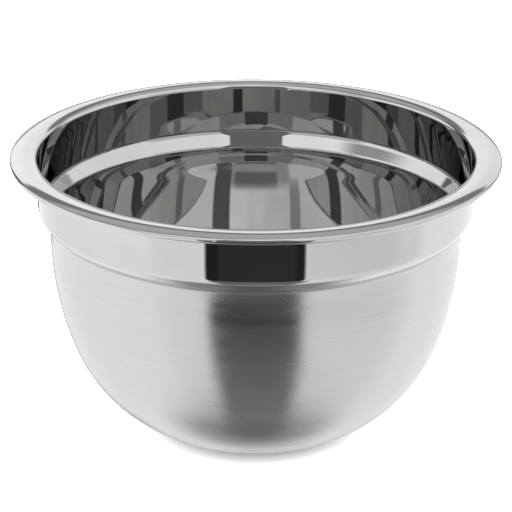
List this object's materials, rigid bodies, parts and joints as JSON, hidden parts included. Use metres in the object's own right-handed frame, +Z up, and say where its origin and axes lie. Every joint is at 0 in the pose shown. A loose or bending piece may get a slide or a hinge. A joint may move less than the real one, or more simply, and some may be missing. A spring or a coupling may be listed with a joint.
{
  "type": "mixing bowl",
  "caption": "Deep round steel mixing bowl with a rolled rim, a straight collar, a stepped shoulder and a small flat base.",
  "frame": {"origin": "centre of the flat base's underside, the face the bowl stands on", "axes": "+Z up the bowl's axis of revolution, towards the open rim; X and Y are free, because the bowl is round"},
  "size_m": [0.242, 0.242, 0.1452],
  "materials": {
    "steel": "mirror polish inside, over the rim and on the collar; fine brushing round the outside of the body"
  },
  "bodies": {
    "root": {"bowl": "steel"}
  },
  "joints": []
}
